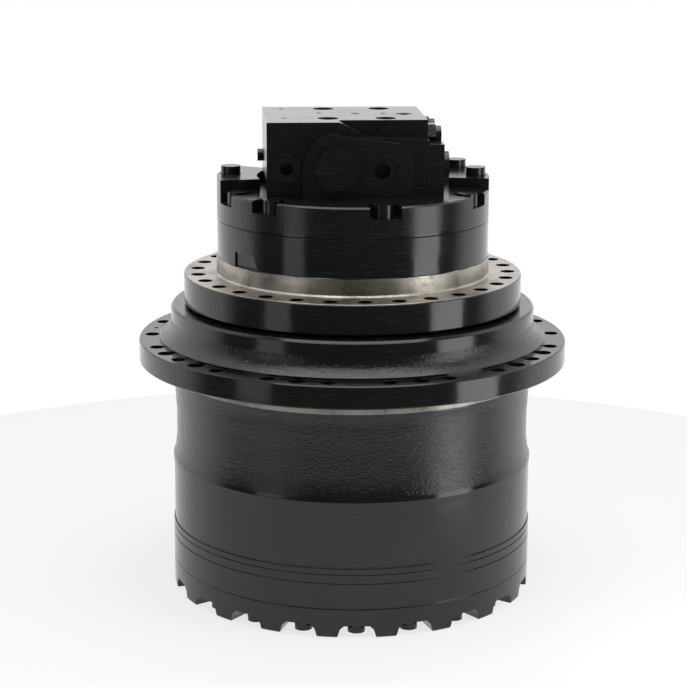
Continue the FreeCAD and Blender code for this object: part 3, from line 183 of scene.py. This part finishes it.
# Oil film, finger marks and dust: a slow cloud broken up by a fine one
def makeSmudge():
    tree, given, out = newGroup("smudge", [
        ("Vector", "NodeSocketVector", None), ("Scale", "NodeSocketFloat", 14.0)],
        [("Mask", "NodeSocketFloat")])
    cloud = addNode(tree, "ShaderNodeTexNoise", {
        "Vector": given["Vector"], "Scale": given["Scale"], "Detail": 5.0, "Roughness": 0.65,
        "Distortion": 0.4})
    fine = addNode(tree, "ShaderNodeTexNoise", {
        "Vector": given["Vector"], "Scale": addMath(tree, "MULTIPLY", given["Scale"], 11.0),
        "Detail": 4.0})
    mixed = addMath(tree, "MULTIPLY", addStep(tree, cloud.outputs[0], 0.42, 0.7), fine.outputs[0])
    tree.links.new(mixed, out.inputs["Mask"])
    return tree


# Short thin scratches: each run is a turn and how far the noise is stretched along the three axes
scratchRuns = ((0.5, (40.0, 40.0, 900.0)), (-0.9, (60.0, 60.0, 700.0)))


def makeScratches():
    tree, given, out = newGroup("scratches", [
        ("Vector", "NodeSocketVector", None), ("Amount", "NodeSocketFloat", 0.5)],
        [("Mask", "NodeSocketFloat")])
    total = None
    for turn, stretch in scratchRuns:
        bent = addNode(tree, "ShaderNodeMapping", {
            "Vector": given["Vector"], "Rotation": (turn, turn * 0.6, turn), "Scale": stretch})
        noise = addNode(tree, "ShaderNodeTexNoise", {"Vector": bent.outputs[0], "Scale": 1.0, "Detail": 0.0})
        line = addStep(tree, noise.outputs[0], 0.74, 0.78)
        total = line if total is None else addMath(tree, "MAXIMUM", total, line)
    tree.links.new(addMath(tree, "MULTIPLY", total, given["Amount"]), out.inputs["Mask"])
    return tree


castSkin = makeCastSkin()
turning = makeTurning()
smudge = makeSmudge()
scratches = makeScratches()


def startMaterial(name):
    material = bpy.data.materials.new(name)
    material.use_nodes = True
    tree = material.node_tree
    shader = tree.nodes["Principled BSDF"]
    place = addNode(tree, "ShaderNodeTexCoord").outputs["Object"]
    return material, tree, shader, place


paint = {
    "colour": (0.006, 0.0062, 0.0066, 1.0),
    "worn": (0.03, 0.028, 0.026, 1.0),
    "roughness": 0.13,
    "dirtRoughness": 0.12,
    "castRoughness": 0.06,
    "ior": 1.5,
    "pitch": 420.0,
    "turnedDepth": 0.0003,
    "waves": 60.0,
    "waveStrength": 0.25,
    "waveDepth": 0.0006,
    "castFade": 0.003,
    "castDepth": 0.0012,
    "scratched": 0.5,
}


# Gloss paint. castBands lists the heights between which the cast skin shows through it.
def makePaint(name, castBands=(), castStrength=0.0, turned=0.06, roughness=paint["roughness"]):
    material, tree, shader, place = startMaterial(name)
    shader.inputs["IOR"].default_value = paint["ior"]
    height = addNode(tree, "ShaderNodeSeparateXYZ", {0: place}).outputs[2]
    marks = placeGroup(tree, turning, {"Vector": place, "Pitch": paint["pitch"]})
    dirt = placeGroup(tree, smudge, {"Vector": place})
    lines = placeGroup(tree, scratches, {"Vector": place, "Amount": paint["scratched"]})
    wavy = addNode(tree, "ShaderNodeTexNoise", {"Vector": place, "Scale": paint["waves"], "Detail": 2.0})
    normal = addBump(tree, wavy.outputs[0], paint["waveStrength"], paint["waveDepth"])
    normal = addBump(tree, marks["Height"], turned, paint["turnedDepth"], normal)
    gloss = addMath(tree, "MULTIPLY_ADD", dirt["Mask"], paint["dirtRoughness"], roughness)
    if castBands:
        cast = makeBands(tree, castBands, height, height, paint["castFade"], paint["castFade"])
        skin = placeGroup(tree, castSkin, {"Vector": place})
        strength = addMath(tree, "MULTIPLY", cast, castStrength)
        normal = addBump(tree, skin["Height"], strength, paint["castDepth"], normal)
        gloss = addMath(tree, "MULTIPLY_ADD", cast, paint["castRoughness"], gloss)
    tree.links.new(gloss, shader.inputs["Roughness"])
    tree.links.new(mixColour(tree, lines["Mask"], paint["colour"], paint["worn"]), shader.inputs["Base Color"])
    tree.links.new(normal, shader.inputs["Normal"])
    return material


bare = {
    "colour": (0.46, 0.43, 0.385, 1.0),
    "oily": (0.2, 0.175, 0.145, 1.0),
    "roughness": 0.25,
    "toneRoughness": 0.16,
    "pitch": 1100.0,
    "grooves": 0.35,
    "grooveDepth": 0.0004,
    "smudges": 22.0,
    "oiled": 1.6,
    "ragged": 45.0,
    "raggedEdge": 0.003,
    "fadeBottom": 0.0004,
    "fadeTop": 0.0006,
}


# Painted casting with bare machined bands, whose upper edge the paint overruns unevenly
def makeHalfBare(name, bareBands, castBands=(), castStrength=0.0, thin=1.0):
    material = makePaint(name, castBands, castStrength)
    tree = material.node_tree
    shader = tree.nodes["Principled BSDF"]
    place = addNode(tree, "ShaderNodeTexCoord").outputs["Object"]
    height = addNode(tree, "ShaderNodeSeparateXYZ", {0: place}).outputs[2]
    ragged = addNode(tree, "ShaderNodeTexNoise", {"Vector": place, "Scale": bare["ragged"], "Detail": 4.0})
    uneven = addMath(tree, "SUBTRACT", ragged.outputs[0], 0.5)
    edge = addMath(tree, "MULTIPLY_ADD", uneven, bare["raggedEdge"], height)
    mask = makeBands(tree, bareBands, height, edge, bare["fadeBottom"], bare["fadeTop"])
    mask = addMath(tree, "MULTIPLY", mask, thin)
    marks = placeGroup(tree, turning, {"Vector": place, "Pitch": bare["pitch"]})
    dirt = placeGroup(tree, smudge, {"Vector": place, "Scale": bare["smudges"]})
    oil = addMath(tree, "MULTIPLY", dirt["Mask"], bare["oiled"], clamp=True)
    steel = mixColour(tree, oil, bare["colour"], bare["oily"])
    rough = addMath(tree, "MULTIPLY_ADD", marks["Tone"], bare["toneRoughness"], bare["roughness"])
    painted = {key: shader.inputs[key].links[0].from_socket for key in ("Base Color", "Roughness", "Normal")}
    tree.links.new(mixColour(tree, mask, painted["Base Color"], steel), shader.inputs["Base Color"])
    tree.links.new(mixValue(tree, mask, painted["Roughness"], rough), shader.inputs["Roughness"])
    grooves = addMath(tree, "MULTIPLY", mask, bare["grooves"])
    ground = addBump(tree, marks["Height"], grooves, bare["grooveDepth"], painted["Normal"])
    tree.links.new(ground, shader.inputs["Normal"])
    tree.links.new(mask, shader.inputs["Metallic"])
    return material


# Inner pieces: colour, metallic, roughness, pitch and strength of the marks
innerFinishes = {
    "ground_steel": ((0.56, 0.56, 0.57, 1.0), 1.0, 0.17, 1400.0, 0.15),
    "gear_steel": ((0.43, 0.43, 0.45, 1.0), 1.0, 0.25, 700.0, 0.3),
    "cast_iron": ((0.16, 0.155, 0.15, 1.0), 0.8, 0.45, 300.0, 0.5),
    "spring_steel": ((0.2, 0.2, 0.21, 1.0), 1.0, 0.33, 900.0, 0.2),
    "bronze": ((0.55, 0.36, 0.17, 1.0), 1.0, 0.27, 900.0, 0.2),
    "friction_lining": ((0.17, 0.13, 0.1, 1.0), 0.0, 0.7, 250.0, 0.5),
    "seal_rubber": ((0.018, 0.018, 0.018, 1.0), 0.0, 0.45, 500.0, 0.1),
}
inner = {"shade": 0.6, "smudges": 30.0, "toneRoughness": 0.12, "markDepth": 0.0003}


def makeInner(name, colour, metallic, roughness, pitch, strength):
    material, tree, shader, place = startMaterial(name)
    shader.inputs["Metallic"].default_value = metallic
    marks = placeGroup(tree, turning, {"Vector": place, "Pitch": pitch})
    dirt = placeGroup(tree, smudge, {"Vector": place, "Scale": inner["smudges"]})
    dark = tuple(channel * inner["shade"] for channel in colour[:3]) + (1.0,)
    tree.links.new(mixColour(tree, dirt["Mask"], colour, dark), shader.inputs["Base Color"])
    rough = addMath(tree, "MULTIPLY_ADD", marks["Tone"], inner["toneRoughness"], roughness)
    tree.links.new(rough, shader.inputs["Roughness"])
    ground = addBump(tree, marks["Height"], strength, inner["markDepth"])
    tree.links.new(ground, shader.inputs["Normal"])
    return material


hubPaint = makeHalfBare(
    "hubPaint", [(pilotBottom - 0.0005, sprocketFace)],
    [(drumTop, pilotBottom - 0.001), (waistBottom, waistTop)],
    castStrength=0.5, thin=0.6)
casePaint = makeHalfBare("casePaint", [(flangeTop - 0.0006, spigotTop)])
coverPaint = makePaint("coverPaint", [(caseTop + 0.002, coverTop - 0.002)], 0.12)
drumPaint = makePaint("drumPaint", turned=0.12)
screwPaint = makePaint("screwPaint", roughness=0.2)
slotMaterials = {slot: makeInner(slot + "Finish", *values) for slot, values in innerFinishes.items()}
slotMaterials.update(black_paint=coverPaint, ring_paint=drumPaint, case_paint=casePaint,
                     black_screws=screwPaint)
print("materials made:", len(bpy.data.materials))

slotOf = {part["node"]: part["material_slot"] for part in frame["record"]["subparts"]}
for name, node in nodes.items():
    node.data.materials.clear()
    node.data.materials.append(slotMaterials[slotOf[name]])


def linkMesh(name, work, material):
    mesh = bpy.data.meshes.new(name)
    work.to_mesh(mesh)
    work.free()
    mesh.materials.clear()
    mesh.materials.append(material)
    piece = bpy.data.objects.new(name, mesh)
    bpy.context.scene.collection.objects.link(piece)
    return piece


soft = {"merge": 0.00002, "flatAngle": 0.4, "bevelAngle": 32.0, "smoothAngle": 40.0}


# A merged copy of a CAD node, in its place, with its sharp edges broken by a small bevel
def softCopy(name, node, material, body, width=0.0006):
    work = bmesh.new()
    work.from_mesh(nodes[node].data)
    bmesh.ops.remove_doubles(work, verts=work.verts, dist=soft["merge"])
    bmesh.ops.dissolve_limit(work, angle_limit=math.radians(soft["flatAngle"]), verts=work.verts,
                             edges=work.edges, use_dissolve_boundaries=False, delimit=set())
    sharp = [edge for edge in work.edges
             if len(edge.link_faces) == 2 and edge.calc_face_angle() > math.radians(soft["bevelAngle"])]
    bmesh.ops.bevel(work, geom=sharp, offset=width, offset_type="OFFSET", affect="EDGES", segments=2,
                    profile=0.5, material=-1, clamp_overlap=True)
    for face in work.faces:
        face.smooth = True
    piece = linkMesh(name, work, material)
    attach(piece, body)
    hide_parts(node)
    piece.data.set_sharp_from_angle(angle=math.radians(soft["smoothAngle"]))
    weighted = piece.modifiers.new("weighted", "WEIGHTED_NORMAL")
    weighted.keep_sharp = True
    return piece


softCopy("hubHousing", "hub_housing", hubPaint, "hub")
softCopy("ringDrum", "ring_gear", drumPaint, "hub", width=0.0003)
softCopy("hubCover", "hub_cover", drumPaint, "hub", width=0.0012)
softCopy("motorCase", "motor_case", casePaint, "spindle")
softCopy("valveCover", "motor_cover", coverPaint, "spindle")
print("castings softened")

camera = {
    "place": (-0.1894, -2.4617, 0.888),
    "tilt": 76.68,
    "roll": 0.25,
    "pan": -4.15,
    "lens": 106.2,
    "sensor": 36.0,
}
cameraData = bpy.data.cameras.new("camera")
cameraData.lens = camera["lens"]
cameraData.sensor_width = camera["sensor"]
cameraObject = bpy.data.objects.new("camera", cameraData)
cameraObject.location = camera["place"]
pan = Matrix.Rotation(math.radians(camera["pan"]), 4, "Z")
tilt = Matrix.Rotation(math.radians(camera["tilt"]), 4, "X")
roll = Matrix.Rotation(math.radians(camera["roll"]), 4, "Z")
cameraObject.rotation_euler = (pan @ tilt @ roll).to_euler()
bpy.context.scene.collection.objects.link(cameraObject)
bpy.context.scene.camera = cameraObject

# Soft lights: place, what it points at, width, height and radiance
lights = {
    "rightStrip": ((0.55, -0.42, 0.40), (0.1, -0.15, 0.40), 0.26, 0.85, 3.2),
    "leftBox": ((-0.75, -0.62, 0.5), (-0.1, -0.1, 0.35), 0.3, 0.9, 0.9),
    "overhead": ((0.0, -0.1, 1.9), (0.0, 0.0, 0.0), 1.7, 1.7, 2.6),
}
for name, (place, aim, width, height, radiance) in lights.items():
    data = bpy.data.lights.new(name, "AREA")
    data.shape = "RECTANGLE"
    data.size = width
    data.size_y = height
    data.energy = radiance * math.pi * width * height
    light = bpy.data.objects.new(name, data)
    light.location = place
    light.rotation_euler = (Vector(aim) - Vector(place)).to_track_quat("-Z", "Y").to_euler()
    light.visible_camera = False
    bpy.context.scene.collection.objects.link(light)

# Pale floor, lifted towards white for the camera and in the gloss, that keeps the shadow
floor = {
    "radius": 0.95,
    "drop": 0.0003,
    "colour": (0.86, 0.86, 0.86, 1.0),
    "roughness": 0.8,
    "lift": 0.75,
}
material, tree, shader, place = startMaterial("floorWhite")
shader.inputs["Base Color"].default_value = floor["colour"]
shader.inputs["Roughness"].default_value = floor["roughness"]
shader.inputs["Specular IOR Level"].default_value = 0.0
path = addNode(tree, "ShaderNodeLightPath").outputs
mirrored = addMath(tree, "ADD", path["Is Glossy Ray"], path["Is Transmission Ray"])
seen = addMath(tree, "ADD", path["Is Camera Ray"], mirrored, clamp=True)
glow = addNode(tree, "ShaderNodeEmission", {"Color": (1.0, 1.0, 1.0, 1.0), "Strength": 1.0})
lifted = addNode(tree, "ShaderNodeMixShader", {
    0: addMath(tree, "MULTIPLY", seen, floor["lift"]), 1: shader.outputs[0], 2: glow.outputs[0]})
tree.links.new(lifted.outputs[0], tree.nodes["Material Output"].inputs[0])
work = bmesh.new()
bmesh.ops.create_circle(work, cap_ends=True, segments=96, radius=floor["radius"])
bmesh.ops.translate(work, vec=(0, 0, -floor["drop"]), verts=work.verts)
linkMesh("floor", work, material)

# White all round for the camera. In the gloss the white backdrop stands behind and the room in front is dim.
studio = {"ambient": 0.4, "room": 0.1, "backdrop": 1.1, "backdropFrom": -0.1, "backdropTo": 0.3}
world = bpy.data.worlds.new("studio")
bpy.context.scene.world = world
world.use_nodes = True
tree = world.node_tree
path = addNode(tree, "ShaderNodeLightPath").outputs
generated = addNode(tree, "ShaderNodeTexCoord").outputs["Generated"]
direction = addNode(tree, "ShaderNodeSeparateXYZ", {0: generated}).outputs
behind = addStep(tree, direction[1], studio["backdropFrom"], studio["backdropTo"])
gloss = mixValue(tree, behind, studio["room"], studio["backdrop"])
level = mixValue(tree, path["Is Glossy Ray"], studio["ambient"], gloss)
plain = addMath(tree, "ADD", path["Is Camera Ray"], path["Is Transmission Ray"], clamp=True)
background = tree.nodes["Background"]
background.inputs["Color"].default_value = (1.0, 1.0, 1.0, 1.0)
tree.links.new(mixValue(tree, plain, level, 1.0), background.inputs["Strength"])

bpy.context.scene.view_settings.view_transform = "Standard"
print("stage set")
